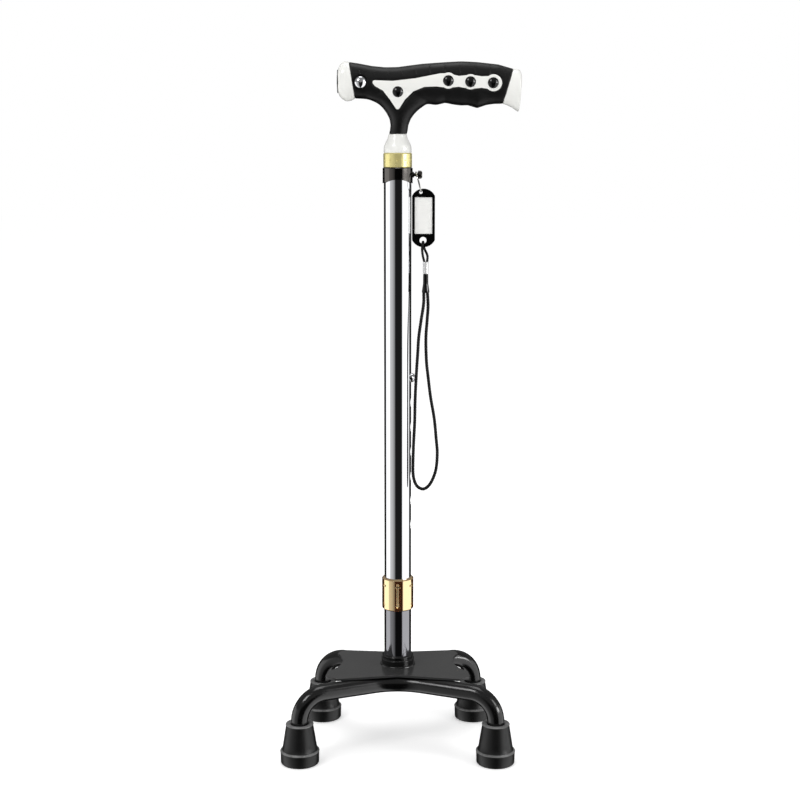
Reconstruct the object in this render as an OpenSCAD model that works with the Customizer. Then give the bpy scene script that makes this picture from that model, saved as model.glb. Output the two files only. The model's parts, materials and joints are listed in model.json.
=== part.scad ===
// Quad walking cane with a lamp in the handle, a telescoping shaft and a four-footed base.
// The shaft's axis is Z, the floor is z = 0, the handle's nose points to -X and its tail to +X.
// The height adjustment is drawn at its lowest setting.

/* [Shaft] */
// Outer diameter of the chromed upper tube
tube_od = 27; // [24:0.5:29]
// Wall of the upper tube
tube_wall = 1.2; // [0.8:0.1:2]
// Length of the upper tube
tube_length = 440.3; // [360:1:560]
// Outer diameter of the inner, height-adjusting tube
inner_od = 23; // [20:0.5:23.4]
// Wall of the inner tube
inner_wall = 1.5; // [1:0.1:2]
// Height of the black sleeve above the base plate
sleeve_length = 59; // [48:0.2:80]
// Outer diameter of the black sleeve
sleeve_od = 27.5; // [25:0.5:30]

/* [Height adjustment] */
// Number of adjusting holes in the upper tube
hole_count = 7; // [2:1:8]
// Distance between adjusting holes
hole_pitch = 25; // [20:1:30]
// Diameter of the snap button
button_d = 9.2; // [7:0.2:10]
// How far the button stands out of the upper tube
button_proud = 4; // [2:0.5:5]
// How far the snap button lies below the upper tube's top end
button_drop = 207; // [150:1:260]

/* [Lock ring] */
// Outer diameter of the lock ring
ring_od = 31.8; // [31:0.1:36]
// Height of the lock ring
ring_h = 33; // [28:1:45]
// Number of flutes round the lock ring
flute_count = 6; // [4:1:12]

/* [Base] */
// Height of the plate's top face above the floor
plate_top = 80; // [66:1:100]
// Thickness of the base plate
plate_t = 2.5; // [2:0.5:5]
// Outer diameter of the leg tubes
leg_od = 17; // [13:0.5:19]
// Wall of the leg tubes
leg_wall = 1.6; // [1:0.1:2.5]
// Half the distance between the front feet, left to right
front_foot_x = 97; // [80:1:120]
// Half the distance between the rear feet, left to right
rear_foot_x = 80; // [68:1:110]
// Distance of the front feet from the shaft's axis, front to rear
front_foot_y = 66; // [54:1:80]
// Distance of the rear feet from the shaft's axis, front to rear
rear_foot_y = 58; // [50:1:80]
// Distance of the leg tubes from the shaft's axis at the middle of the base
leg_y = 24; // [22:1:30]
// Half the depth of the base plate at its middle
plate_y = 36; // [32:1:42]
// Bend radius of the leg tubes
leg_bend = 26; // [20:1:30]

/* [Feet] */
// Diameter of a rubber foot's flange
foot_d = 39; // [32:0.5:48]
// Height of a rubber foot
foot_h = 41; // [32:0.5:46]
// Height of the flange's upright band
foot_band = 13; // [8:0.5:16]

/* [Handle] */
// Half the thickness of the grip at its middle
grip_w = 14.5; // [12:0.1:17]
// Wall of the soft grip above and below the core
grip_wall = 4.2; // [2.5:0.1:5]
// Half the thickness of the hard core
core_w = 9; // [8:0.1:10.5]
// Depth of the white inlays
inlay_depth = 2.2; // [1.5:0.1:3]
// Width of the groove round each inlay
inlay_gap = 0.6; // [0.3:0.1:1]
// Diameter of the dome studs
stud_d = 10.4; // [8:0.2:12]
// How far the dome studs stand out
stud_proud = 1.8; // [1:0.1:3]

/* [Lamp] */
// Diameter of the lamp's lens
lens_d = 17.6; // [14:0.1:18.6]
// Diameter of the lamp switch's button
switch_d = 10.4; // [8:0.2:12]
// Diameter of the coin cells
cell_d = 16; // [12:0.5:16]

/* [Collar and ferrule] */
// Outer diameter of the strap collar
collar_od = 29.4; // [28.4:0.1:33]
// Height of the strap collar at its sides
collar_h = 16; // [12:0.5:20]
// Height of the ferrule
ferrule_h = 13.9; // [10:0.1:18]
// Outer diameter of the ferrule
ferrule_od = 27.9; // [26.6:0.1:32]
// Height of the white neck
neck_h = 18.2; // [14:0.2:24]

/* [Strap] */
// Width of the tag
tag_w = 22.4; // [20:0.2:28]
// Height of the tag
tag_h = 57; // [50:1:66]
// Thickness of the tag
tag_t = 3.4; // [2.8:0.1:4]
// Diameter of the split ring, to the middle of its wire
split_ring_d = 19.4; // [18:0.1:24]
// Diameter of the split ring's wire
wire_d = 1.4; // [1:0.1:1.8]
// Diameter of the wrist cord
cord_d = 3.4; // [2.6:0.1:3.6]
// Diameter of each strand of the short cord on the tag
short_cord_d = 2.6; // [2:0.1:3]

/* [Hidden] */
$fn = 48;
eps = 0.01;

// Clearances
running = 0.05;      // radial, between a bush and the tube that slides in it
loose = 0.3;         // radial, between pieces that pass each other freely
seat = 0.2;          // between faces that come to rest on each other

// Radii
tube_r = tube_od / 2;
tube_in_r = tube_r - tube_wall;
inner_r = inner_od / 2;
inner_in_r = inner_r - inner_wall;
sleeve_r = sleeve_od / 2;
leg_r = leg_od / 2;
button_r = button_d / 2;
hole_r = button_r + loose;

// Heights along the shaft
plate_bottom = plate_top - plate_t;
sleeve_top = plate_top + sleeve_length;
ring_bottom = sleeve_top + seat;
ring_lip = 2;
bush_flange = 2;
bush_length = 22;
tube_bottom = ring_bottom + ring_lip + bush_flange + seat;
tube_top = tube_bottom + tube_length;
button_z = tube_top - button_drop;
inner_top = button_z + 16;
inner_bottom = plate_top;
ferrule_top = tube_top + ferrule_h;
neck_top = ferrule_top + neck_h;
collar_bottom = tube_top - collar_h;
spigot_length = 28;
spigot_bottom = tube_top - spigot_length;
spigot_bore_r = 8;
spigot_bore_depth = 40;

// Snap button
button_flange_r = button_r + 1.1;
button_flange_t = 1;
button_flange_x = sqrt(pow(inner_in_r, 2) - pow(button_flange_r, 2)) - 0.2;
button_tip = tube_r + button_proud;
spring_strip = 0.6;

// Base
leg_z = plate_bottom - leg_r;
front_foot = [front_foot_x, front_foot_y];
rear_foot = [rear_foot_x, rear_foot_y];
leg_middle_bend = 60;
foot_floor = 9;
foot_bore_r = leg_r;
foot_r = foot_d / 2;
washer_t = 1.5;
leg_end = foot_floor + washer_t;
socket_r = 16.65;
socket_lip_r = socket_r - 1;
socket_step = 7;
socket_h = 11.4;
plug_h = 22;
bolt_r = 4;
bolt_head_r = 6.5;
bolt_head_h = 5.3;
washer_r = 9;
bolt_washer_t = 1.6;

// Strap collar, stud and ring
stud_z = tube_top - 7;
stud_neck_r = 1.6;
stud_head_r = 4.1;
stud_flange_x = collar_od / 2;
stud_neck_x = stud_flange_x + 1.6;
stud_head_x = stud_neck_x + 3.5;
stud_tip = stud_head_x + 4.2;
stud_shank_r = 1.8;
ring_tilt = 14;
ring_top_x = (stud_neck_x + stud_head_x) / 2;
ring_top_z = stud_z + stud_neck_r + wire_d / 2 + 0.15;
ring_low_x = ring_top_x + split_ring_d * sin(ring_tilt);
ring_low_z = ring_top_z - split_ring_d * cos(ring_tilt);

// Tag, hung on the ring's lowest point
tag_left = tube_r + 0.6;
tag_x = tag_left + tag_w / 2;
tag_hole_r = wire_d / 2 + 0.9;
tag_hole_z = ring_low_z - tag_hole_r + wire_d / 2 + loose;
tag_top = tag_hole_z + tag_hole_r + 1.9;
tag_bottom = tag_top - tag_h;
tag_rise = 7;
eye_r = 3.4;
eye_x = tag_x - 0.4;
eye_z = tag_bottom + 3.3 + eye_r;
label_w = tag_w - 5.2;
label_h = 35.8;
label_z = tag_top - 8.2 - label_h / 2;
label_depth = 1.2;
label_t = 0.4;
window_t = 0.6;
bar_cord_z = eye_z - eye_r + short_cord_d / 2 + 0.3;
short_side_y = tag_t / 2 + short_cord_d / 2 + 0.3;

// Clip and sleeve on the strap
strap_x = 27.6;
strap_y = -1.5;
clip_top = 492;
clip_h = 12;
clip_r = 2.75;
sleeve_end_top = clip_top - clip_h;
cord_sleeve_h = 18.5;
cord_start_z = sleeve_end_top - cord_sleeve_h;

// The wrist cord's route, from the left side of the sleeve down, round and up to its right side
wrist_route = [
    [25.8, -2, 461.5], [25.5, -3.5, 450], [23, -6.5, 434], [20.8, -8, 418], [19.8, -8.5, 402],
    [18.7, -8.5, 385], [17.4, -8.5, 358], [16.9, -8.5, 333], [15.9, -8.5, 312], [15.3, -8.5, 291],
    [15.7, -8.5, 278], [19, -8.5, 268.5], [25.8, -8.5, 265], [32.6, -8.5, 270.5], [38, -8.5, 284],
    [39.5, -8.5, 301], [38.4, -8, 316], [36.3, -7.5, 337], [32.7, -7, 358], [30.1, -6.5, 379],
    [28.5, -6, 394], [27.9, -5, 416], [29, -3.5, 433], [30, -2, 448], [29.4, -1, 461.5]
];
wrist_steps = 2;
short_steps = 2;

// Grip stations from nose to tail: [x and z of the top line, x and z of the bottom line, half thickness]
grip_stations = [
    [-46.9, 684.2, -41.2, 649.6, grip_w - 0.4],
    [-37, 682.7, -35, 649.3, grip_w - 0.2],
    [-24.7, 680.4, -27, 648.8, grip_w],
    [-12.2, 679.2, -14, 648, grip_w],
    [0, 679.4, 0, 647, grip_w],
    [12, 681, 14, 646, grip_w],
    [24, 682.5, 28, 644.6, grip_w],
    [35, 683.3, 37, 643.2, grip_w - 0.1],
    [44, 683.9, 46, 645.4, grip_w - 0.2],
    [54, 684.5, 54, 643.8, grip_w - 0.2],
    [61, 684.8, 61, 642.9, grip_w - 0.3],
    [68, 684.6, 68, 643.1, grip_w - 0.4],
    [77, 684.1, 77, 640.4, grip_w - 0.5],
    [87, 683, 86, 643.4, grip_w - 0.6],
    [97, 681.9, 93, 644.4, grip_w - 0.7],
    [111.3, 677.8, 101.4, 644.6, grip_w - 0.8]
];
// Tail stations carry on from the grip's last one
tail_stations = [
    [111.3, 677.8, 101.4, 644.6, grip_w - 0.8],
    [114.6, 678.1, 106, 643.2, grip_w - 0.4],
    [117.3, 676.9, 111.5, 640.4, grip_w],
    [119, 674.4, 115.6, 637.6, grip_w + 0.2],
    [119.6, 671.5, 117.3, 636.8, grip_w - 0.6]
];
// Nose stations run from the grip's first one to the lens
nose_stations = [
    [-46.9, 684.2, -41.2, 649.6, grip_w - 0.4],
    [-49, 684.8, -45, 647.4, grip_w],
    [-52, 684.4, -49.5, 646.8, grip_w - 0.3],
    [-54.8, 682.6, -53.6, 649, grip_w - 1.4],
    [-56.7, 679.3, -56.2, 652, grip_w - 2.7],
    [-57.6, 676, -57.6, 655.6, grip_w - 4.2]
];
// Soft neck from the white neck up into the bar: [height above the white neck, left edge and right edge,
// how much thinner than the grip's middle, exponent of the cross-section]
neck_stations = [
    [0, -8.4, 9.1, 5.75, 2],
    [3.4, -7.5, 9.8, 5.4, 2.05],
    [8.4, -6.9, 10.5, 4.3, 2.1],
    [14.4, -7.9, 12.8, 2.6, 2.2],
    [20.2, -11, 17.2, 1.3, 2.3],
    [24.2, -14, 21.8, 0.7, 2.4],
    [27.2, -16.9, 26.2, 0.5, 2.5],
    [29.7, -20.5, 29.5, 0.4, 2.5],
    [31.9, -25.5, 31, 0.3, 2.5],
    [33.7, -31.5, 32, 0.25, 2.5],
    [37, -33, 32, 0.2, 2.5],
    [42, -26, 26, 0.15, 2.5],
    [47, -14, 16, 0.1, 2.5]
];
ring_points = 36;
roundness = 2.5;      // exponent of the grip's cross-section: 2 is an ellipse

lamp_z = 665.8;
lamp_bore_r = lens_d / 2 + 0.1;
cell_bore_r = cell_d / 2 + 0.3;
cell_t = 3.2;
cell_count = 3;
cell_back = -15;
contact_t = 1;
switch_x = -35.7;
switch_z = 664.5;
switch_r = switch_d / 2;
bezel_r = switch_r + 0.9;
switch_face = grip_w + 0.1;
switch_body_y = 6;
stud_places = [[0.2, 655.5], [48.6, 665.9], [69.8, 664.9], [91.6, 664]];
stud_r = stud_d / 2;
stud_peg_r = 2;
stud_peg_in = 4;      // how far a stud's peg goes into the core
neck_core_r = 6;
neck_core_x = 1.5;
neck_core_h = 38;

// ---------- shared shapes ----------

// A tube with its bottom at z = low
module pipe(r_out, r_in, low, high) {
    translate([0, 0, low])
        difference() {
            cylinder(r = r_out, h = high - low);
            translate([0, 0, -1])
                cylinder(r = r_in, h = high - low + 2);
        }
}

// A solid of revolution about the X axis, from a profile of [x, radius] points
module turned_x(profile) {
    rotate([0, 90, 0])
        rotate_extrude()
            polygon([for (p = profile) [p[1], p[0]]]);
}

// A cylinder along Y from y = from to y = to, at [x, z]
module peg_y(place, r, from, to) {
    translate([place[0], to, place[1]])
        rotate([90, 0, 0])
            cylinder(r = r, h = to - from);
}

// A plate in the XZ plane from y = from to y = to
module slab_y(from, to) {
    translate([0, to, 0])
        rotate([90, 0, 0])
            linear_extrude(to - from)
                children();
}

// Signed power, for the rounded cross-sections
function bulge(v, exponent) = sign(v) * pow(abs(v), 2 / exponent);

// One cross-section of the grip, in the slanted plane of its station
function station_ring(s) = [
    for (k = [0 : ring_points - 1])
        let (a = 360 * k / ring_points,
             up = bulge(sin(a), roundness), side = bulge(cos(a), roundness),
             mid_x = (s[0] + s[2]) / 2, mid_z = (s[1] + s[3]) / 2)
        [mid_x + up * (s[0] - s[2]) / 2, side * s[4], mid_z + up * (s[1] - s[3]) / 2]
];

// One level cross-section of the soft neck
function neck_ring(s) = [
    for (k = [0 : ring_points - 1])
        let (a = 360 * k / ring_points)
        [(s[1] + s[2]) / 2 + bulge(cos(a), s[4]) * (s[2] - s[1]) / 2,
         bulge(sin(a), s[4]) * (grip_w - s[3]),
         neck_top + s[0]]
];

// A closed skin over a list of rings, whose order of points decides which side is out
module skin(rings, flip = false) {
    n = len(rings[0]);
    m = len(rings);
    points = [for (r = rings) each r];
    sides = [
        for (i = [0 : m - 2], k = [0 : n - 1])
            let (a = i * n + k, b = i * n + (k + 1) % n, c = a + n, d = b + n)
            each [[a, b, d], [a, d, c]]
    ];
    ends = [[for (k = [n - 1 : -1 : 0]) k], [for (k = [0 : n - 1]) (m - 1) * n + k]];
    all_faces = concat(sides, ends);
    polyhedron(points, flip ? [for (f = all_faces) [for (k = [len(f) - 1 : -1 : 0]) f[k]]] : all_faces);
}

// Points of a smooth curve through a route, with a number of steps between neighbours
function curve_point(p0, p1, p2, p3, t) =
    0.5 * (2 * p1 + (p2 - p0) * t + (2 * p0 - 5 * p1 + 4 * p2 - p3) * t * t
           + (3 * p1 - p0 - 3 * p2 + p3) * t * t * t);
function smooth_route(route, steps) = [
    for (i = [0 : len(route) - 2], j = [0 : steps - 1])
        curve_point(route[max(i - 1, 0)], route[i], route[i + 1], route[min(i + 2, len(route) - 1)], j / steps),
    route[len(route) - 1]
];

// A round cord swept along a path that stays near one upright plane whose normal is given
function unit(v) = v / norm(v);
function cord_rings(path, r, sides, normal) = [
    for (i = [0 : len(path) - 1])
        let (along = unit(path[min(i + 1, len(path) - 1)] - path[max(i - 1, 0)]),
             across = unit(cross(along, normal)),
             level = cross(across, along))
        [for (k = [0 : sides - 1])
            let (a = 360 * k / sides)
            path[i] + r * (cos(a) * across + sin(a) * level)]
];

// ---------- base ----------

// Plan of the base plate: a butterfly with rounded corners and hollow sides
module plate_plan() {
    difference() {
        offset(r = 5)
            offset(delta = -5)
                polygon([
                    [-front_foot_x + 24, -plate_y - 4], [-front_foot_x + 36, -plate_y - 12], [0, -plate_y],
                    [front_foot_x - 36, -plate_y - 12], [front_foot_x - 24, -plate_y - 4],
                    [rear_foot_x - 17, plate_y - 4], [rear_foot_x - 22, plate_y + 6], [0, plate_y],
                    [-rear_foot_x + 22, plate_y + 6], [-rear_foot_x + 17, plate_y - 4]
                ]);
        for (side = [-1, 1])
            translate([side * 102, 8])
                circle(r = 45, $fn = 96);
    }
}

// The plate lies on both leg tubes
module base_plate() {
    color([0.24, 0.24, 0.24])
        difference() {
            translate([0, 0, plate_bottom])
                linear_extrude(plate_t)
                    plate_plan();
            translate([0, 0, plate_bottom - 1])
                cylinder(r = bolt_r + loose, h = plate_t + 2);
        }
}

// Level distance from the middle of a leg tube to its foot, and the angle it swings out by
function leg_run(foot) = norm([foot[0], foot[1] - leg_y]);
function leg_swing(foot) = atan2(foot[1] - leg_y, foot[0]);

// Turns what is drawn along +X into the level line from the middle of a leg tube, at +Y, to its foot
module along_leg(foot) {
    translate([0, leg_y, 0])
        rotate([0, 0, leg_swing(foot)])
            children();
}

// Right half of a leg at +Y as a bar of radius r, down to z = low: half of a shallow middle bend, a level
// stretch and the bend down
module leg_half(foot, r, low) {
    run = leg_run(foot);
    middle = leg_middle_bend * tan(leg_swing(foot));
    difference() {
        along_leg(foot) {
            translate([middle, leg_middle_bend, leg_z])
                rotate([0, 0, -90])
                    mirror([0, 1, 0])
                        rotate_extrude(angle = leg_swing(foot) + 10)
                            translate([leg_middle_bend, 0])
                                circle(r = r);
            translate([middle, 0, leg_z])
                rotate([0, 90, 0])
                    cylinder(r = r, h = run - leg_bend - middle);
            translate([run - leg_bend, 0, leg_z - leg_bend])
                rotate([90, 0, 0])
                    rotate_extrude(angle = 90)
                        translate([leg_bend, 0])
                            circle(r = r);
            translate([run, 0, low])
                cylinder(r = r, h = leg_z - leg_bend - low);
        }
        translate([-foot[0], 0, 0])
            cube([foot[0], 2 * foot[1], plate_top]);
    }
}

// A whole leg tube: side is -1 for the front and 1 for the rear
module leg_tube(foot, side) {
    for (hand = [0, 1])
        mirror([0, side > 0 ? 0 : 1, 0])
            mirror([hand, 0, 0])
                difference() {
                    leg_half(foot, leg_r, leg_end);
                    leg_half(foot, leg_r - leg_wall, leg_end - 1);
                }
}

module front_leg_tube() {
    color([0.05, 0.05, 0.05])
        leg_tube(front_foot, -1);
}

module rear_leg_tube() {
    color([0.05, 0.05, 0.05])
        leg_tube(rear_foot, 1);
}

// A rubber foot at the origin: tapered socket, spreading flange and a ringed tread
module rubber_foot() {
    rim_r = foot_r * 0.69;
    waist_r = foot_r * 0.85;
    difference() {
        rotate_extrude()
            polygon([
                [0, 0], [foot_r - 2.2, 0], [foot_r - 0.5, 2.5], [foot_r, foot_band],
                [foot_r - 0.8, foot_band + 0.8], [waist_r, foot_band + 6.5],
                [rim_r, foot_h - 1.6], [rim_r - 0.6, foot_h - 0.4], [rim_r - 1.6, foot_h], [0, foot_h]
            ]);
        translate([0, 0, foot_floor])
            cylinder(r = foot_bore_r, h = foot_h);
        for (r = [foot_r - 13, foot_r - 8])
            translate([0, 0, -1])
                pipe(r + 1.2, r, 0, 2.2);
    }
}

module foot_at(x, y) {
    color([0.08, 0.08, 0.08])
        translate([x, y, 0])
            rubber_foot();
}

module foot_front_left() foot_at(-front_foot_x, -front_foot_y);
module foot_front_right() foot_at(front_foot_x, -front_foot_y);
module foot_rear_left() foot_at(-rear_foot_x, rear_foot_y);
module foot_rear_right() foot_at(rear_foot_x, rear_foot_y);

// A steel disc in each foot keeps the leg tube from cutting through the rubber
module foot_washers() {
    color("silver")
        for (x = [-1, 1]) {
            translate([x * front_foot_x, -front_foot_y, foot_floor])
                cylinder(r = foot_bore_r, h = washer_t);
            translate([x * rear_foot_x, rear_foot_y, foot_floor])
                cylinder(r = foot_bore_r, h = washer_t);
        }
}

// Stepped steel socket welded on the plate round the shaft
module base_socket() {
    color([0.04, 0.04, 0.04])
        rotate_extrude()
            polygon([
                [sleeve_r, plate_top], [socket_r, plate_top], [socket_r, plate_top + socket_step - 0.6],
                [socket_r - 0.6, plate_top + socket_step], [socket_lip_r, plate_top + socket_step],
                [socket_lip_r, plate_top + socket_h - 1.4], [socket_lip_r - 1.2, plate_top + socket_h],
                [sleeve_r, plate_top + socket_h]
            ]);
}

// Hexagon bolt that draws the shaft down on the plate
module base_bolt() {
    low = plate_bottom - bolt_washer_t;
    color("silver") {
        translate([0, 0, low - bolt_head_h])
            cylinder(r = bolt_head_r, h = bolt_head_h, $fn = 6);
        translate([0, 0, low])
            cylinder(r = bolt_r, h = plug_h + plate_t + bolt_washer_t - 4);
    }
}

module base_washer() {
    color("silver")
        pipe(washer_r, bolt_r + loose, plate_bottom - bolt_washer_t, plate_bottom);
}

// Threaded plug in the foot of the inner tube
module tube_plug() {
    color([0.5, 0.5, 0.52])
        difference() {
            translate([0, 0, plate_top])
                cylinder(r = inner_in_r, h = plug_h);
            translate([0, 0, plate_top - 1])
                cylinder(r = bolt_r, h = plug_h - 3);
        }
}

// ---------- shaft ----------

module lower_sleeve() {
    color([0.02, 0.02, 0.02])
        pipe(sleeve_r, inner_r, plate_top, sleeve_top);
}

module inner_tube() {
    color([0.72, 0.73, 0.75])
        difference() {
            pipe(inner_r, inner_in_r, inner_bottom, inner_top);
            translate([0, 0, button_z])
                rotate([0, 90, 0])
                    cylinder(r = button_r + running, h = inner_r + 2);
        }
}

// Plastic cap on the inner tube, which runs in the upper tube
module inner_bush() {
    color([0.15, 0.15, 0.16])
        rotate_extrude()
            polygon([
                [4, inner_top - 7], [inner_in_r, inner_top - 7], [inner_in_r, inner_top], [tube_in_r - running, inner_top],
                [tube_in_r - running, inner_top + 3], [tube_in_r - 1, inner_top + 4], [4, inner_top + 4]
            ]);
}

// Domed button with a flange that stops it inside the inner tube
module snap_button() {
    dome = 2.6;
    start = button_flange_x - button_flange_t;
    color([0.8, 0.8, 0.82])
        translate([0, 0, button_z])
            rotate([0, 90, 0]) {
                translate([0, 0, start])
                    cylinder(r = button_flange_r, h = button_flange_t);
                translate([0, 0, start])
                    cylinder(r = button_r, h = button_tip - dome - start);
                intersection() {
                    translate([0, 0, button_tip - dome_radius(button_r, dome)])
                        sphere(r = dome_radius(button_r, dome));
                    translate([0, 0, button_tip - dome - eps])
                        cylinder(r = button_r, h = dome + 1);
                }
            }
}

// Radius of the sphere whose cap is r wide and rise high
function dome_radius(r, rise) = (r * r + rise * rise) / (2 * rise);

// Folded leaf spring behind the button: two blades joined by a bend
module button_spring() {
    back = -inner_in_r + 0.8;
    front = button_flange_x - button_flange_t;
    fold_r = (front - back) / 2;
    blade = 20;
    width = 7;
    color([0.6, 0.6, 0.62])
        translate([(front + back) / 2, width / 2, button_z])
            rotate([90, 0, 0])
                linear_extrude(width)
                    union() {
                        for (side = [-1, 1])
                            translate([side * (fold_r - spring_strip / 2) - spring_strip / 2, -blade])
                                square([spring_strip, blade + (side > 0 ? button_r : 8)]);
                        translate([0, -blade])
                            difference() {
                                circle(r = fold_r);
                                circle(r = fold_r - spring_strip);
                                translate([-fold_r - 1, 0])
                                    square([2 * fold_r + 2, fold_r + 1]);
                            }
                    }
}

module outer_tube() {
    color([0.85, 0.85, 0.87])
        difference() {
            pipe(tube_r, tube_in_r, tube_bottom, tube_top);
            for (i = [0 : hole_count - 1])
                translate([0, 0, button_z - i * hole_pitch])
                    rotate([0, 90, 0])
                        cylinder(r = hole_r, h = tube_r + 2);
            translate([0, 0, stud_z])
                rotate([0, 90, 0])
                    cylinder(r = stud_shank_r, h = tube_r + 2);
        }
}

// Flanged bush in the lower end of the upper tube, which runs on the inner tube
module outer_bush() {
    color([0.15, 0.15, 0.16])
        rotate_extrude()
            polygon([
                [inner_r + running, tube_bottom - bush_flange], [tube_r, tube_bottom - bush_flange],
                [tube_r, tube_bottom], [tube_in_r, tube_bottom], [tube_in_r, tube_bottom + bush_length],
                [inner_r + running, tube_bottom + bush_length]
            ]);
}

// Fluted ring that turns on the upper tube's end; each flute ends in a cross
module lock_ring() {
    r = ring_od / 2;
    flute_low = ring_bottom + 4;
    flute_high = ring_bottom + ring_h - 4;
    color([0.83, 0.66, 0.22])
        difference() {
            rotate_extrude()
                polygon([
                    [inner_r + loose, ring_bottom], [r - 1.2, ring_bottom], [r, ring_bottom + 1.2],
                    [r, ring_bottom + ring_h - 1.2], [r - 1.2, ring_bottom + ring_h],
                    [tube_r + running, ring_bottom + ring_h], [tube_r + running, ring_bottom + ring_lip],
                    [inner_r + loose, ring_bottom + ring_lip]
                ]);
            for (k = [0 : flute_count - 1])
                rotate([0, 0, 360 * (k + 0.5) / flute_count])
                    translate([r + 0.35, 0, 0]) {
                        translate([0, 0, flute_low])
                            cylinder(r = 1.3, h = flute_high - flute_low);
                        translate([0, 0, flute_high - 3.4])
                            rotate([90, 0, 0])
                                cylinder(r = 1.3, h = 6, center = true);
                        translate([0, 0, flute_low + 2.2])
                            rotate([90, 0, 0])
                                cylinder(r = 1.1, h = 3.6, center = true);
                    }
        }
}

// ---------- strap collar and ferrule ----------

module strap_collar() {
    r = collar_od / 2;
    scallop = 4.3;
    cut_r = dome_radius(r + 1, scallop);
    color([0.05, 0.05, 0.05])
        difference() {
            rotate_extrude()
                polygon([
                    [tube_r, collar_bottom], [r - 0.6, collar_bottom], [r, collar_bottom + 0.8],
                    [r, tube_top - 0.8], [r - 0.8, tube_top], [tube_r, tube_top]
                ]);
            translate([0, 0, collar_bottom + scallop - cut_r])
                rotate([90, 0, 0])
                    cylinder(r = cut_r, h = collar_od + 2, center = true, $fn = 96);
            translate([0, 0, stud_z])
                rotate([0, 90, 0])
                    cylinder(r = stud_shank_r, h = collar_od);
        }
}

// Waisted stud whose shank pins the collar, the tube and the handle's spigot together
module strap_stud() {
    color([0.3, 0.3, 0.31])
        translate([0, 0, stud_z])
            turned_x([
                [7, 0], [7, stud_shank_r], [stud_flange_x, stud_shank_r], [stud_flange_x, 2.9],
                [stud_flange_x + 0.7, 2.9], [stud_neck_x, stud_neck_r], [stud_head_x - 0.8, stud_neck_r],
                [stud_head_x + 0.5, stud_head_r], [stud_tip - 1, stud_head_r - 0.3],
                [stud_tip, stud_head_r - 1.6], [stud_tip, 0]
            ]);
}

module ferrule_ring() {
    r = ferrule_od / 2;
    dimples = 11;
    color([0.83, 0.72, 0.3])
        difference() {
            rotate_extrude()
                polygon([
                    [spigot_r(), tube_top], [r - 0.5, tube_top], [r, tube_top + 0.6],
                    [r, ferrule_top - 0.9], [r - 0.6, ferrule_top], [spigot_r(), ferrule_top]
                ]);
            for (k = [0 : dimples - 1])
                rotate([0, 0, 360 * k / dimples - 90])
                    translate([r + 0.2, 0, tube_top + ferrule_h / 2])
                        sphere(r = 0.8);
        }
}

// Radius of the handle's spigot, a close fit in the upper tube
function spigot_r() = tube_in_r;

// ---------- handle ----------

// Point on a station's own line, grip_wall below its top or above its bottom
function core_top(s) = let (t = grip_wall / (s[1] - s[3])) [s[0] + (s[2] - s[0]) * t, s[1] - grip_wall];
function core_bottom(s) = let (t = grip_wall / (s[1] - s[3])) [s[2] + (s[0] - s[2]) * t, s[3] + grip_wall];

// Side view of the hard core inside the grip, from the grip's own stations; past makes both of its ends longer
module core_profile(past) {
    last = len(grip_stations) - 1;
    top = [for (s = grip_stations) core_top(s)];
    bottom = [for (i = [last : -1 : 0]) core_bottom(grip_stations[i])];
    polygon(past == 0 ? concat(top, bottom) : concat(
        top, [top[last] + [past, 0], bottom[0] + [past, 0]],
        bottom, [bottom[last] - [past, 0], top[0] - [past, 0]]
    ));
}

module core_form(past = 0) {
    slab_y(-core_w, core_w)
        core_profile(past);
}

module core_body() {
    core_form();
    translate([neck_core_x, 0, neck_top])
        cylinder(r = neck_core_r, h = neck_core_h);
}

// White neck: the foot of the handle, from the ferrule up to the soft grip
module neck_body() {
    r_low = ferrule_od / 2 - 0.4;
    r_top = 8.9;
    rotate_extrude()
        polygon(concat(
            [[0, spigot_bottom], [spigot_r() - 1, spigot_bottom], [spigot_r(), spigot_bottom + 1],
             [spigot_r(), ferrule_top], [r_low, ferrule_top]],
            [for (i = [0 : 8])
                let (t = i / 8, ease = (1 - cos(180 * t)) / 2)
                [r_low + (r_top - r_low) * ease, ferrule_top + 4 + (neck_h - 4) * t]],
            [[0, neck_top]]
        ));
}

module handle_core() {
    color([0.93, 0.93, 0.92])
        difference() {
            union() {
                core_body();
                neck_body();
                skin([for (s = tail_stations) station_ring(s)], true);
            }
            translate([-60, 0, lamp_z])
                rotate([0, 90, 0])
                    cylinder(r = cell_bore_r, h = cell_back + 60);
            peg_y([switch_x, switch_z], bezel_r, -20, -switch_body_y + 4);
            for (p = stud_places)
                for (side = [-1, 1])
                    peg_y(p, stud_peg_r, side > 0 ? core_w - stud_peg_in : -20, side > 0 ? 20 : -core_w + stud_peg_in);
            translate([0, 0, stud_z])
                rotate([0, 90, 0])
                    cylinder(r = stud_shank_r, h = tube_r + 2);
            translate([0, 0, spigot_bottom - 1])
                cylinder(r = spigot_bore_r, h = spigot_bore_depth + 1);
        }
}

// Outer form of the soft grip's bar
module grip_bar() {
    skin([for (s = grip_stations) station_ring(s)], true);
}

// Outer form of the whole soft grip: the bar and the neck that flows into it
module grip_form() {
    grip_bar();
    skin([for (s = neck_stations) neck_ring(s)], true);
}

module grip_overmould() {
    color([0.04, 0.04, 0.04])
        difference() {
            grip_form();
            core_form(1);
            for (side = [-1, 1])
                slab_y(side > 0 ? inlay_floor() : -30, side > 0 ? 30 : -inlay_floor())
                    offset(r = inlay_gap, $fn = 24)
                        inlay_outline();
            translate([neck_core_x, 0, neck_top - 1])
                cylinder(r = neck_core_r, h = neck_core_h + 1);
            for (p = stud_places)
                peg_y(p, stud_peg_r, -20, 20);
            peg_y([switch_x, switch_z], bezel_r, -20, 0);
        }
}

// Height of the inlays' pocket floor above the middle plane
function inlay_floor() = grip_w - inlay_depth;

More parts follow.
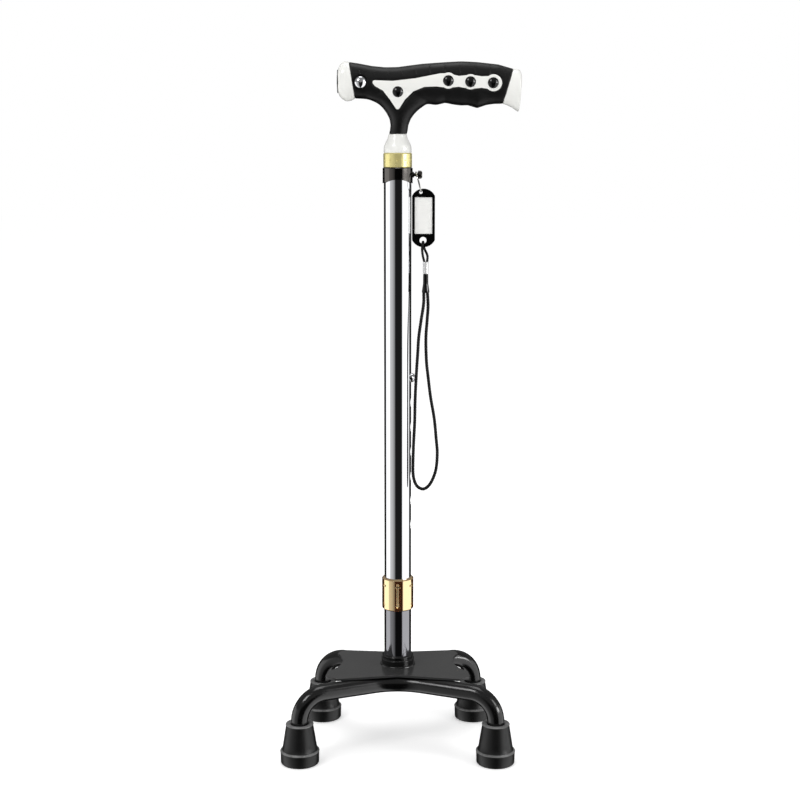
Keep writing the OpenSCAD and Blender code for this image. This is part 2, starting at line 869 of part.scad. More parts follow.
// Side view of the inlay: a band that widens round each stud and a long point over the neck
module inlay_outline() {
    offset(r = 2, $fn = 24)
        offset(delta = -2) {
            polygon([
                [-26, 666.5], [-4.5, 665.7], [16.8, 668.1], [40.9, 672.8], [48.6, 673], [58.6, 670.3], [70, 671.5],
                [81, 670], [92, 670.5], [92, 657.5], [80.5, 659.2], [70, 658.2], [58.5, 660.2], [48.2, 659.2],
                [37.1, 660.5], [25.5, 660.1], [14.9, 655.8], [7.1, 648.2], [0.8, 638.6], [-0.8, 638.6],
                [-7.4, 648.2], [-14.1, 656.7], [-22, 661]
            ]);
            for (p = [[48.6, 666, 7.6], [69.8, 664.9, 7.2], [92, 664, 8]])
                translate([p[0], p[1]])
                    circle(r = p[2], $fn = 40);
        }
}

// Inlay on the side of the grip that faces -Y (side = -1) or +Y (side = 1)
module inlay(side) {
    color([0.95, 0.95, 0.94])
        difference() {
            intersection() {
                grip_form();
                slab_y(side > 0 ? inlay_floor() : -30, side > 0 ? 30 : -inlay_floor())
                    inlay_outline();
            }
            for (p = stud_places)
                peg_y(p, stud_r, -30, 30);
        }
}

module inlay_front() inlay(-1);
module inlay_back() inlay(1);

// Dome studs with a peg that is pressed into the core
module studs(side) {
    rise = stud_proud + 0.4;
    color([0.02, 0.02, 0.02])
        for (p = stud_places)
            translate([p[0], 0, p[1]])
                rotate([side * -90, 0, 0]) {
                    translate([0, 0, inlay_floor()])
                        cylinder(r = stud_r, h = inlay_depth - 0.4);
                    translate([0, 0, core_w - stud_peg_in])
                        cylinder(r = stud_peg_r, h = inlay_floor() - core_w + stud_peg_in + eps);
                    intersection() {
                        translate([0, 0, grip_w + stud_proud - dome_radius(stud_r, rise)])
                            sphere(r = dome_radius(stud_r, rise));
                        translate([0, 0, grip_w - 0.4 - eps])
                            cylinder(r = stud_r, h = rise + 1);
                    }
                }
}

module studs_front() studs(-1);
module studs_back() studs(1);

// ---------- lamp ----------

module nose_cap() {
    color([0.95, 0.95, 0.94])
        difference() {
            skin([for (s = nose_stations) station_ring(s)]);
            translate([-70, 0, lamp_z])
                rotate([0, 90, 0])
                    cylinder(r = lamp_bore_r, h = 40);
        }
}

module lamp_lens() {
    color([0.85, 0.9, 0.95])
        translate([0, 0, lamp_z])
            turned_x([
                [-55.4, 0], [-55.4, lamp_bore_r], [-57.6, lamp_bore_r], [-58, lamp_bore_r - 0.6],
                [-58.6, lamp_bore_r - 3], [-58.8, 0]
            ]);
}

module lamp_reflector() {
    color([0.9, 0.9, 0.9])
        translate([0, 0, lamp_z])
            turned_x([
                [-55.4, lamp_bore_r], [-55.4, lamp_bore_r - 0.7], [-50, 6.2], [-46.6, 3], [-46.6, 2.6],
                [-45.6, 2.6], [-45.6, 4.4], [-46, lamp_bore_r], [-47.6, lamp_bore_r], [-49, 7.4], [-54, lamp_bore_r]
            ]);
}

module led_board() {
    color([0.1, 0.35, 0.2])
        translate([0, 0, lamp_z])
            turned_x([
                [-44, 0], [-44, cell_bore_r], [-45.6, cell_bore_r], [-45.6, 2.5], [-48, 2.5], [-49.4, 1.6], [-50, 0]
            ]);
}

module coin_cells() {
    color([0.75, 0.76, 0.78])
        for (i = [0 : cell_count - 1])
            translate([cell_back - contact_t - (i + 1) * cell_t, 0, lamp_z])
                rotate([0, 90, 0])
                    cylinder(r = cell_d / 2, h = cell_t);
}

// Contact discs on both ends of the stack of cells
module battery_contacts() {
    front = cell_back - contact_t - cell_count * cell_t;
    color([0.8, 0.7, 0.4])
        for (x = [cell_back - contact_t, front - contact_t])
            translate([x, 0, lamp_z])
                rotate([0, 90, 0])
                    cylinder(r = cell_bore_r, h = contact_t);
}

module switch_bezel() {
    color([0.12, 0.12, 0.12])
        translate([switch_x, 0, switch_z])
            rotate([90, 0, 0])
                difference() {
                    translate([0, 0, switch_body_y - 4])
                        cylinder(r = bezel_r, h = switch_face + 4 - switch_body_y);
                    translate([0, 0, switch_body_y - 2.5])
                        cylinder(r = switch_r + running, h = 20);
                }
}

module switch_button() {
    rise = 2.2;
    low = switch_face - 5;
    color([0.85, 0.85, 0.87])
        translate([switch_x, 0, switch_z])
            rotate([90, 0, 0]) {
                translate([0, 0, low])
                    cylinder(r = switch_r, h = 5);
                intersection() {
                    translate([0, 0, switch_face + rise - dome_radius(switch_r, rise)])
                        sphere(r = dome_radius(switch_r, rise));
                    translate([0, 0, switch_face - eps])
                        cylinder(r = switch_r, h = rise + 1);
                }
            }
}

// Stack of wave washers under the switch button
module switch_spring() {
    low = switch_body_y - 2.5;
    high = switch_face - 5;
    turns = 4;
    pitch = (high - low) / turns;
    color([0.6, 0.6, 0.62])
        translate([switch_x, 0, switch_z])
            rotate([90, 0, 0])
                rotate_extrude()
                    polygon(concat(
                        [for (i = [0 : turns]) [i % 2 == 0 ? 2.2 : 3.4, low + i * pitch]],
                        [for (i = [turns : -1 : 0]) [i % 2 == 0 ? 2.9 : 4.1, low + i * pitch]]
                    ));
}

// ---------- ring, tag and strap ----------

// Wire ring hung on the stud's neck
module split_ring() {
    color([0.85, 0.85, 0.87])
        translate([ring_top_x, 0, ring_top_z])
            rotate([0, -ring_tilt, 0])
                translate([0, 0, -split_ring_d / 2])
                    rotate([0, 90, 0])
                        rotate_extrude()
                            translate([split_ring_d / 2, 0])
                                circle(r = wire_d / 2, $fn = 24);
}

module tag_outline() {
    arc_r = dome_radius(tag_w / 2, tag_rise);
    translate([tag_left, tag_bottom + tag_rise])
        square([tag_w, tag_h - 2 * tag_rise]);
    intersection() {
        translate([tag_x, tag_top - arc_r])
            circle(r = arc_r);
        translate([tag_left, tag_top - tag_rise - 1])
            square([tag_w, tag_rise + 2]);
    }
    intersection() {
        translate([tag_x, tag_bottom + arc_r])
            circle(r = arc_r);
        translate([tag_left, tag_bottom - 1])
            square([tag_w, tag_rise + 2]);
    }
}

module label_outline() {
    translate([tag_x - label_w / 2, label_z - label_h / 2])
        square([label_w, label_h]);
}

module tag_frame() {
    color([0.03, 0.03, 0.03])
        difference() {
            slab_y(-tag_t / 2, tag_t / 2)
                tag_outline();
            slab_y(-tag_t, -tag_t / 2 + label_depth)
                label_outline();
            peg_y([ring_low_x, tag_hole_z], tag_hole_r, -tag_t, tag_t);
            peg_y([eye_x, eye_z], eye_r, -tag_t, tag_t);
        }
}

module tag_label() {
    color([0.96, 0.96, 0.94])
        slab_y(-tag_t / 2 + label_depth - label_t, -tag_t / 2 + label_depth)
            label_outline();
}

module tag_window() {
    color([0.9, 0.93, 0.95])
        slab_y(-tag_t / 2 + label_depth - label_t - window_t, -tag_t / 2 + label_depth - label_t)
            label_outline();
}

// The short cord's route: up the front of the tag, through its lower eye and down the back
short_route = [
    [strap_x - short_cord_d / 2 - 0.1, strap_y, clip_top],
    [eye_x - 0.2, strap_y - 1, clip_top + 6],
    [eye_x - 0.9, -short_side_y + 0.3, tag_bottom - 2],
    [eye_x - 0.6, -short_side_y, tag_bottom + 2],
    [eye_x - 0.3, -short_side_y + 0.8, bar_cord_z - 0.1],
    [eye_x, 0, bar_cord_z + 0.2],
    [eye_x + 0.3, short_side_y - 0.8, bar_cord_z - 0.1],
    [eye_x + 0.6, short_side_y, tag_bottom + 2],
    [eye_x + 1.6, short_side_y - 0.3, tag_bottom - 2],
    [strap_x + 1.6, strap_y + 2, clip_top + 6],
    [strap_x + short_cord_d / 2 + 0.1, strap_y, clip_top]
];

module short_cord() {
    color([0.05, 0.05, 0.05])
        skin(cord_rings(smooth_route(short_route, short_steps), short_cord_d / 2, 8, [1, 0, 0]), true);
}

module strap_clip() {
    color([0.85, 0.85, 0.87])
        translate([strap_x, strap_y, sleeve_end_top])
            rotate_extrude()
                polygon([
                    [0, 0], [clip_r - 0.3, 0], [clip_r, 0.4], [clip_r, clip_h - 0.4], [clip_r - 0.3, clip_h], [0, clip_h]
                ]);
}

module cord_sleeve() {
    color([0.06, 0.06, 0.06])
        translate([strap_x, strap_y, cord_start_z])
            rotate_extrude()
                polygon([
                    [0, 0], [3.7, 0], [3.7, 1.5], [2.6, 9], [2.5, cord_sleeve_h], [0, cord_sleeve_h]
                ]);
}

module wrist_cord() {
    color([0.03, 0.03, 0.03])
        skin(cord_rings(smooth_route(wrist_route, wrist_steps), cord_d / 2, 8, [0, 1, 0]), true);
}

base_plate();
base_socket();
front_leg_tube();
rear_leg_tube();
foot_front_left();
foot_front_right();
foot_rear_left();
foot_rear_right();
foot_washers();
base_bolt();
base_washer();
tube_plug();
lower_sleeve();
inner_tube();
inner_bush();
snap_button();
button_spring();
lock_ring();
outer_tube();
outer_bush();
strap_collar();
strap_stud();
ferrule_ring();
handle_core();
grip_overmould();
inlay_front();
inlay_back();
studs_front();
studs_back();
nose_cap();
lamp_lens();
lamp_reflector();
led_board();
coin_cells();
battery_contacts();
switch_bezel();
switch_button();
switch_spring();
split_ring();
tag_frame();
tag_label();
tag_window();
short_cord();
strap_clip();
cord_sleeve();
wrist_cord();
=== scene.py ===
# %% [markdown]
# # Dressing a quad walking cane
#
# The measured CAD model gives every piece its size and place. This lesson gives the pieces their looks:
# chrome plating, black enamel, moulded rubber, anodised gold rings and a braided wrist cord. It places the
# camera, sweeps the two cords and makes a material for each finish. Then it softens or remakes the pieces
# that the CAD model leaves too plain, and last it builds a small studio, because polished metal shows
# nothing but what stands around it.

import json
import math

import bpy
from mathutils import Matrix, Vector


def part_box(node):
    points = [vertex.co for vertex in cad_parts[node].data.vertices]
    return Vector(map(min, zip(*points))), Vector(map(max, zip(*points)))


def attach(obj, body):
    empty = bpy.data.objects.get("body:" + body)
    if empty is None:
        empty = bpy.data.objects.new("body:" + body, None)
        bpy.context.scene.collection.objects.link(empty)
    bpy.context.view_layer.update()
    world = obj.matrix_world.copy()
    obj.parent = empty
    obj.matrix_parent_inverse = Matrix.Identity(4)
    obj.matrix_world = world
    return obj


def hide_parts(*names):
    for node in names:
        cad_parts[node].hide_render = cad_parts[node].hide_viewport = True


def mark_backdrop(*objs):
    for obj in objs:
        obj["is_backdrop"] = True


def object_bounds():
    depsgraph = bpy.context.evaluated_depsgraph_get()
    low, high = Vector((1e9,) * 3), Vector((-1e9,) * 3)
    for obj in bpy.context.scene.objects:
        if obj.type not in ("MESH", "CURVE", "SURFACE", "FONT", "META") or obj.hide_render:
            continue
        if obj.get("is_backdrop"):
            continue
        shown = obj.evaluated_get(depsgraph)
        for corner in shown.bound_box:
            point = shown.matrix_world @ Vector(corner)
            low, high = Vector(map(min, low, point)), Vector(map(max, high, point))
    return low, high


bpy.context.scene.view_settings.view_transform = "Standard"
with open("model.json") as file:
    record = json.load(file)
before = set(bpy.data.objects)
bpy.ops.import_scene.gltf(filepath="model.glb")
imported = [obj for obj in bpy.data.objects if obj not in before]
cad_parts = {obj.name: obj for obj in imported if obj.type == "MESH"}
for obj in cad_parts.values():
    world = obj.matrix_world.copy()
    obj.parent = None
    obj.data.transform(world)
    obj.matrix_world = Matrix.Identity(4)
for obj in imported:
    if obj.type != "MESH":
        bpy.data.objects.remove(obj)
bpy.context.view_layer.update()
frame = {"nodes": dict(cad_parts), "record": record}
MM = 0.001

# %% [markdown]
# ## The camera
#
# A tall thin object keeps its sides straight when it is seen from well back through a long lens. The
# camera stands 1.5 m in front of the cane at 0.6 m, and aims at a point 354 mm up the shaft. Its tilt
# follows from those numbers, so it is worked out and not typed.

# %% Place the camera
CAMERA_AT = Vector((2.3, -1500, 600)) * MM
AIM_HEIGHT = 354 * MM
SENSOR_WIDTH = 36
LENS = 68.47
tilt = math.atan2(CAMERA_AT.z - AIM_HEIGHT, -CAMERA_AT.y)
bpy.ops.object.camera_add(location=CAMERA_AT, rotation=(math.pi / 2 - tilt, 0, 0))
camera = bpy.context.object
camera.data.sensor_width = SENSOR_WIDTH
camera.data.lens = LENS
bpy.context.scene.camera = camera
print("the camera looks down by", round(math.degrees(tilt), 2), "degrees")

# %% [markdown]
# ## The cords' routes
#
# The wrist cord is one length of braided polyester. Both of its ends go up into a sleeve, and the loop
# hangs under its own weight. The short cord joins the clip above that sleeve to the tag. Each route is a
# list of chosen points, in millimetres, and a Catmull-Rom curve runs smoothly through them.

# %% Choose the points of both routes
WRIST_CORD = 3.4
WRIST_POINTS = [
    (25.8, -2, 461.5), (25.5, -3.5, 450), (23, -6.5, 434), (20.8, -8, 418), (19.8, -8.5, 402),
    (18.7, -8.5, 385), (17.4, -8.5, 358), (16.9, -8.5, 333), (15.9, -8.5, 312), (15.3, -8.5, 291),
    (15.7, -8.5, 278), (19, -8.5, 268.5), (25.8, -8.5, 265), (32.6, -8.5, 270.5), (38, -8.5, 284),
    (39.5, -8.5, 301), (38.4, -8, 316), (36.3, -7.5, 337), (32.7, -7, 358), (30.1, -6.5, 379),
    (28.5, -6, 394), (27.9, -5, 416), (29, -3.5, 433), (30, -2, 448), (29.4, -1, 461.5),
]
SHORT_CORD = 2.6
SHORT_POINTS = [
    (26.2, -1.5, 492), (24.7, -2.5, 498), (24, -3, 504.2), (24.3, -3.3, 508.2), (24.6, -2.5, 511),
    (24.9, 0, 511.3), (25.2, 2.5, 511), (25.5, 3.3, 508.2), (26.5, 3, 504.2), (29.2, 0.5, 498),
    (29, -1.5, 492),
]
print(len(WRIST_POINTS), "points on the wrist cord and", len(SHORT_POINTS), "on the short cord")

# %% [markdown]
# A Catmull-Rom curve passes through every chosen point, and its direction at each of them follows the
# points before and after. The two ends have no neighbour on one side, so one is mirrored there.

# %% Run a smooth curve through the points


def smooth_route(points, spacing):
    """Points in metres, about that many millimetres apart, on a smooth curve through the chosen ones."""
    chosen = [Vector(p) * MM for p in points]
    chosen = [2 * chosen[0] - chosen[1], *chosen, 2 * chosen[-1] - chosen[-2]]
    route = [chosen[1]]
    for before, start, end, after in zip(chosen, chosen[1:], chosen[2:], chosen[3:]):
        count = max(2, round((end - start).length / (spacing * MM)))
        for k in range(1, count + 1):
            t = k / count
            route.append(0.5 * (2 * start + (end - before) * t
                                + (2 * before - 5 * start + 4 * end - after) * t**2
                                + (3 * start - before - 3 * end + after) * t**3))
    return route


def length_of(route):
    return sum((b - a).length for a, b in zip(route, route[1:]))


wrist_route = smooth_route(WRIST_POINTS, spacing=0.55)
short_route = smooth_route(SHORT_POINTS, spacing=0.45)
print("wrist cord", round(length_of(wrist_route) / MM, 1), "mm, short cord",
      round(length_of(short_route) / MM, 1), "mm")

# %% [markdown]
# ## The cords themselves
#
# A braid has strands that wind both ways and pass over and under each other, so its surface is a lattice
# of small humps. Modelling each strand would cost a great many faces for a cord 3.4 mm thick. The way
# chosen is a tube whose radius rises and falls in that lattice: two waves wind in opposite directions,
# and their product is a hump where one strand lies on top.

# %% Sweep a braided tube along a route
HUMPS_ROUND = 5
SIDES = 4 * HUMPS_ROUND


def braided_cord(name, route, diameter, lay, relief):
    """lay is one full winding of a strand and relief the depth between humps, both in millimetres."""
    radius = diameter / 2 * MM
    side = Vector((0, 1, 0))
    corners, faces, walked = [], [], 0
    for k, here in enumerate(route):
        ahead = (route[min(k + 1, len(route) - 1)] - route[max(k - 1, 0)]).normalized()
        side = (side - ahead * side.dot(ahead)).normalized()
        across = ahead.cross(side)
        if k:
            walked += (here - route[k - 1]).length
        wind = 2 * math.pi * walked / (lay * MM)
        for j in range(SIDES):
            turn = 2 * math.pi * j / SIDES
            hump = math.cos(HUMPS_ROUND * turn + wind) * math.cos(HUMPS_ROUND * turn - wind)
            reach = radius - relief * MM * (0.5 - 0.5 * hump)
            corners.append(here + reach * (math.cos(turn) * side + math.sin(turn) * across))
    for k in range(len(route) - 1):
        for j in range(SIDES):
            a, b = k * SIDES + j, k * SIDES + (j + 1) % SIDES
            faces.append((a, b, b + SIDES, a + SIDES))
    last = (len(route) - 1) * SIDES
    faces += [tuple(reversed(range(SIDES))), tuple(range(last, last + SIDES))]
    mesh = bpy.data.meshes.new(name)
    mesh.from_pydata(corners, [], faces)
    mesh.shade_smooth()
    made = bpy.data.objects.new(name, mesh)
    bpy.context.collection.objects.link(made)
    print(name, "has", len(faces), "faces")
    return made


wrist_loop = braided_cord("wrist_loop", wrist_route, WRIST_CORD, lay=5.2, relief=0.35)
tag_loop = braided_cord("tag_loop", short_route, SHORT_CORD, lay=4.2, relief=0.25)

# %% [markdown]
# Each cord takes the place of the plain tube in the CAD model and swings with the strap. Both of its ends
# are on the cane, and it is limp and hangs.

# %% Put both cords in place of the CAD tubes
for cord, route, node, width in ((wrist_loop, wrist_route, "wrist_cord", WRIST_CORD),
                                 (tag_loop, short_route, "short_cord", SHORT_CORD)):
    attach(cord, "strap")
    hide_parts(node)
    print(cord.name, "stands for", node)

# %% [markdown]
# ## Colours and nodes
#
# A colour picked from a real surface is an sRGB code, and the renderer counts in linear light, so one
# function turns the one into the other. A material is a graph of nodes, and one small function adds a node
# with its settings, its numbers and what feeds it. The sky at the end is a graph too, so the function
# works on either.

# %% Three small helpers


def linear(code):
    """An sRGB hex code as linear RGBA."""
    channels = [int(code[i : i + 2], 16) / 255 for i in (0, 2, 4)]
    return [c / 12.92 if c <= 0.04045 else ((c + 0.055) / 1.055) ** 2.4 for c in channels] + [1]


def blank(name, kind=bpy.data.materials):
    """A new material, or a new world, with an empty graph."""
    made = kind.new(name)
    made.use_nodes = True
    made.node_tree.nodes.clear()
    return made


def add(owner, kind, links=None, values=None, stops=None, **options):
    """Add a node: links and values go by socket, stops are a ramp's (place, colour)."""
    tree = owner.node_tree
    node = tree.nodes.new("ShaderNode" + kind)
    for option, choice in options.items():
        setattr(node, option, choice)
    for socket, value in (values or {}).items():
        node.inputs[socket].default_value = value
    for socket, (source, output) in (links or {}).items():
        tree.links.new(source.outputs[output], node.inputs[socket])
    if stops:
        colours = node.color_ramp.elements
        while len(colours) < len(stops):
            colours.new(0.5)
        for stop, (place, colour) in zip(colours, stops):
            stop.position, stop.color = place, colour
    return node


# %% [markdown]
# ## What every finish has
#
# No real surface is even. Its colour drifts a little, its gloss changes in soft patches where it was
# polished or handled, and a fine grain, left by the mould, the brush or the spray, breaks up its
# highlights. These three are the same graph each time with other sizes, so they are one function. All
# sizes are millimetres on the object. A noise seldom leaves the middle of its range, so the whole drift is
# taken from that middle. An anodised skin also scatters a little coloured light from its dye.

# %% A surface with drift, patches and grain
NOISE_LOW, NOISE_HIGH = 0.3, 0.7
DYE_SHARE = 0.07


def surface(name, colour, gloss, patch, grain, height, drift=0.05, run=(1, 1, 1), dye="", **principled):
    """colour is an sRGB code, which drifts by that share. gloss is the lowest and highest roughness, and
    patch the size of its patches. grain and height are the size and depth of the fine relief, and run
    stretches it along an axis. dye is an sRGB code too, and the rest are the shader's own sockets."""
    m = blank(name)
    place = add(m, "TexCoord")
    drawn = add(m, "Mapping", {"Vector": (place, "Object")}, {"Scale": run})
    cloud = add(m, "TexNoise", {"Vector": (place, "Object")}, {"Scale": 1 / (patch * MM), "Detail": 4})
    fine = add(m, "TexNoise", {"Vector": (drawn, "Vector")}, {"Scale": 1 / (grain * MM), "Detail": 3})
    base = linear(colour)
    dark, pale = [[min(1, c * (1 + way * drift)) for c in base[:3]] + [1] for way in (-1, 1)]
    tint = add(m, "ValToRGB", {"Fac": (cloud, "Fac")}, stops=[(NOISE_LOW, dark), (NOISE_HIGH, pale)])
    rough = add(m, "MapRange", {"Value": (cloud, "Fac")},
                {"From Min": NOISE_LOW, "From Max": NOISE_HIGH, "To Min": gloss[0], "To Max": gloss[1]})
    lift = add(m, "Bump", {"Height": (fine, "Fac")}, {"Strength": 1, "Distance": height * MM})
    sockets = {key.replace("_", " "): value for key, value in principled.items()}
    skin = add(m, "BsdfPrincipled", {"Base Color": (tint, "Color"), "Roughness": (rough, "Result"),
                                     "Normal": (lift, "Normal")}, sockets)
    if dye:
        scatter = add(m, "BsdfDiffuse", values={"Color": linear(dye)})
        skin = add(m, "MixShader", {1: (skin, 0), 2: (scatter, 0)}, {0: DYE_SHARE})
    add(m, "OutputMaterial", {"Surface": (skin, 0)})
    return m


# %% [markdown]
# ## Metals
#
# The shaft is drawn tube under bright chrome: a mirror with very faint lines along the tube, left by the
# drawing and the polishing wheel. Nickel is a little warmer and softer, and zinc on hardware is dull.
# Black chrome, on the lower sleeve, is still a mirror, but one that swallows three quarters of the light,
# and the strap collar is darker again. The cord's clip is satin aluminium and the cells' contacts are
# spring brass. A metal's colour is its reflection, so the code says how much light comes back, and the
# IOR stays at its default.

# %% Make the metals
FINISH = {}
FINISH["chrome"] = surface("polished_chrome_plating", "e7e8eb", (0.02, 0.045), 40, 0.5, 0.00025,
                           drift=0.01, run=(1, 1, 0.02), Metallic=1)
FINISH["bright_steel"] = surface("bright_nickel_plating", "dcdbd6", (0.06, 0.14), 12, 0.6, 0.001,
                                 Metallic=1)
FINISH["steel"] = surface("zinc_plated_steel", "aeb0b4", (0.25, 0.4), 8, 0.4, 0.004, Metallic=1)
FINISH["black_chrome"] = surface("black_chrome_plating", "8f8f93", (0.06, 0.11), 30, 0.5, 0.0004,
                                 drift=0.03, run=(1, 1, 0.02), Metallic=1)
FINISH["dark_collar"] = surface("dark_plated_collar", "5f5c59", (0.1, 0.18), 15, 0.5, 0.0006,
                                drift=0.04, Metallic=1)
FINISH["satin_aluminium"] = surface("satin_aluminium", "f2f2f2", (0.4, 0.5), 6, 0.3, 0.003, Metallic=0.6)
FINISH["contact_brass"] = surface("spring_brass", "c9a252", (0.2, 0.35), 6, 0.4, 0.003, Metallic=1)
print("metals:", ", ".join(FINISH))

# %% [markdown]
# Two gold rings dress the shaft. The locking ring is polished aluminium with a bright gold anodised skin,
# nearly a mirror, and the dye in that skin shows as deep amber where the ring mirrors something dark. The
# ferrule under the handle is anodised over a satin surface, so it is paler and scatters the light, and its
# colour shows even where no lamp is mirrored.

# %% Make the two golds
FINISH["gold"] = surface("bright_gold_anodised", "fde6b4", (0.03, 0.06), 20, 2, 0.0004, drift=0.03,
                         dye="c2560e", Metallic=1)
FINISH["satin_gold"] = surface("satin_gold_anodised", "eee29a", (0.2, 0.28), 10, 0.5, 0.001,
                               drift=0.04, run=(1, 1, 0.1), Metallic=0.55)
print("golds:", FINISH["gold"].name, "and", FINISH["satin_gold"].name)

# %% [markdown]
# ## Enamel, plastics and rubber
#
# The legs and the socket are sprayed with gloss black enamel: a thin hard skin over a slightly uneven
# coat, which is the orange peel that a spray gun leaves. The plate is dipped and stoved, and a little
# paler. Rubber is moulded in tools that are blasted with grit, so its surface is a fine grain and its
# highlight is wide and weak. ABS is moulded in a polished tool and stays glossy, and acetal is duller.

# %% Make the coated and moulded finishes
FINISH["black_paint"] = surface("gloss_black_enamel", "060606", (0.16, 0.24), 25, 1.6, 0.006,
                                Coat_Weight=0.3, Coat_Roughness=0.08)
FINISH["plate_paint"] = surface("stoved_charcoal_enamel", "333333", (0.16, 0.22), 40, 2.2, 0.001,
                                drift=0.02)
FINISH["grip_rubber"] = surface("blasted_thermoplastic_rubber", "0a0a0a", (0.4, 0.5), 14, 0.35, 0.012,
                                drift=0.1, Specular_IOR_Level=0.35)
FINISH["white_plastic"] = surface("gloss_white_abs", "f3f3ef", (0.14, 0.22), 30, 0.9, 0.002,
                                  drift=0.01, Coat_Weight=0.2)
FINISH["black_plastic"] = surface("gloss_black_abs", "050505", (0.05, 0.09), 12, 0.8, 0.0006)
FINISH["dark_plastic"] = surface("black_acetal", "141415", (0.38, 0.48), 10, 0.4, 0.004)
print("coated and moulded:", ", ".join(list(FINISH)[-6:]))

# %% [markdown]
# The lamp's board has a green solder mask, smooth and thin over copper. The tag's label is a plain white
# card. The cord is braided polyester: its fibres scatter the light, so it is rough and hardly shines.

# %% Make the finishes of the board, the label and the cords
FINISH["board_green"] = surface("solder_mask_green", "1f5a35", (0.25, 0.35), 5, 0.5, 0.004)
FINISH["paper_white"] = surface("card_label", "fbfbf8", (0.7, 0.85), 6, 0.25, 0.006, drift=0.012)
FINISH["black_cord"] = surface("braided_polyester", "0b0b0c", (0.55, 0.7), 5, 0.3, 0.02, drift=0.2,
                               Specular_IOR_Level=0.3)
print("board, label and cord:", ", ".join(list(FINISH)[-3:]))

# %% [markdown]
# The rubber feet need one thing more. The bead above the tread band and the rolled rim are painted grey:
# a painted highlight, the light line that a lit bead and rim would show. The painted highlight follows
# height on the foot, broken up by a noise, and the bead and the rim themselves are in the mesh. A Mix node
# has many sockets of one name, so its two colours go by number, 6 and 7, and the mixed one comes out of 2.

# %% Make the rubber of the feet, with its painted highlight
FOOT_HEIGHT = 41
FOOT_BAND = 13
# heights of the painted highlight: the bead above the tread band and the rolled rim
HIGHLIGHT_BANDS = [(FOOT_BAND - 0.5, FOOT_BAND + 1.1), (FOOT_HEIGHT - 1.1, FOOT_HEIGHT)]
BAND_EDGE = 0.008


def foot_rubber():
    m = blank("moulded_black_rubber")
    place = add(m, "TexCoord")
    part = add(m, "SeparateXYZ", {"Vector": (place, "Object")})
    height = add(m, "Math", {0: (part, "Z")}, {1: 1 / (FOOT_HEIGHT * MM)}, operation="MULTIPLY")
    patches = add(m, "TexNoise", {"Vector": (place, "Object")}, {"Scale": 1 / (9 * MM), "Detail": 5})
    grain = add(m, "TexNoise", {"Vector": (place, "Object")}, {"Scale": 1 / (0.4 * MM), "Detail": 2})
    # the grey is a painted highlight on the bead and the rim, not the rubber's own colour
    rubber, painted_highlight = linear("0b0b0b"), linear("777777")
    (low, high), (rim, _) = [(a / FOOT_HEIGHT, b / FOOT_HEIGHT) for a, b in HIGHLIGHT_BANDS]
    highlight_bands = add(m, "ValToRGB", {"Fac": (height, "Value")}, stops=[
        (low - BAND_EDGE, rubber), (low + BAND_EDGE, painted_highlight), (high - BAND_EDGE, painted_highlight),
        (high + BAND_EDGE, rubber), (rim - BAND_EDGE, rubber), (rim + BAND_EDGE, painted_highlight), (1, painted_highlight)])
    highlight_breakup = add(m, "MapRange", {"Value": (patches, "Fac")}, {"From Min": NOISE_LOW, "From Max": 0.6,
                                                           "To Min": 0.45, "To Max": 1})
    tint = add(m, "Mix", {0: (highlight_breakup, "Result"), 7: (highlight_bands, "Color")}, {6: rubber}, data_type="RGBA")
    rough = add(m, "MapRange", {"Value": (patches, "Fac")}, {"To Min": 0.32, "To Max": 0.5})
    lift = add(m, "Bump", {"Height": (grain, "Fac")}, {"Strength": 1, "Distance": 0.01 * MM})
    skin = add(m, "BsdfPrincipled", {"Base Color": (tint, 2), "Roughness": (rough, "Result"),
                                     "Normal": (lift, "Normal")}, {"Specular IOR Level": 0.4})
    add(m, "OutputMaterial", {"Surface": (skin, "BSDF")})
    return m


FINISH["black_rubber"] = foot_rubber()
print("the feet are grey at heights of", HIGHLIGHT_BANDS, "mm")

# %% [markdown]
# The lamp lens and the tag's window are clear polycarbonate. A thin clear sheet neither bends nor dims
# what is behind it, so it is made from a see-through shader with a gloss on top that grows at a glancing
# angle, which renders much cleaner than full refraction. The angle comes from Layer Weight's Facing, which
# is the same from both sides of the sheet; Fresnel would take the inside for a mirror and lose the light.

# %% Make the clear plastic
MIRROR_STRAIGHT, MIRROR_GLANCING = 0.03, 0.6


def clear_polycarbonate():
    m = blank("clear_polycarbonate")
    place = add(m, "TexCoord")
    smears = add(m, "TexNoise", {"Vector": (place, "Object")}, {"Scale": 1 / (12 * MM), "Detail": 3})
    rough = add(m, "MapRange", {"Value": (smears, "Fac")}, {"To Min": 0.02, "To Max": 0.08})
    see = add(m, "BsdfTransparent", values={"Color": (1, 1, 1, 1)})
    gloss = add(m, "BsdfGlossy", {"Roughness": (rough, "Result")}, {"Color": (1, 1, 1, 1)})
    facing = add(m, "LayerWeight", values={"Blend": 0.5})
    glancing = add(m, "Math", {0: (facing, "Facing")}, {1: 4}, operation="POWER")
    share = add(m, "MapRange", {"Value": (glancing, "Value")},
                {"To Min": MIRROR_STRAIGHT, "To Max": MIRROR_GLANCING})
    both = add(m, "MixShader", {0: (share, "Result"), 1: (see, 0), 2: (gloss, 0)})
    add(m, "OutputMaterial", {"Surface": (both, 0)})
    return m


FINISH["clear_plastic"] = clear_polycarbonate()
print("clear plastic mirrors", MIRROR_STRAIGHT, "straight on and", MIRROR_GLANCING, "at its rim")

# %% [markdown]
# ## Finishes onto pieces
#
# Each CAD node names its slot, and takes that slot's finish. A few nodes share a slot with others but are
# plated differently on a real cane, and they are listed by name.

